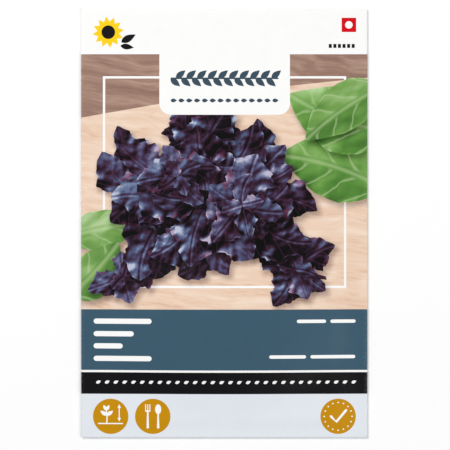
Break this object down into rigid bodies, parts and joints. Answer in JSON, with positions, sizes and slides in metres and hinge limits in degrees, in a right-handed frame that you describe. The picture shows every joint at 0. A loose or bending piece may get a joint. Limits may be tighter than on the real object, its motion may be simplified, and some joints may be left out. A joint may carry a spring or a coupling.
{
  "type": "seed packet",
  "caption": "Sealed flat paper seed packet lying on its back, its front printed with purple and green basil leaves, with a welded inner sachet of fine black seeds.",
  "frame": {"origin": "on the surface the packet lies on, under the middle of its outline", "axes": "+X across the packet to the right of the printed front, +Y along it towards its top edge, +Z out of the printed front"},
  "size_m": [0.08, 0.12, 0.0031],
  "materials": {
    "printed_paper": "satin",
    "sachet_laminate": "satin",
    "seed_coat": "matte"
  },
  "bodies": {
    "root": {"envelope": "printed_paper", "sachet_back_web": "sachet_laminate", "sachet_front_web": "sachet_laminate", "seeds": "seed_coat"}
  },
  "joints": []
}
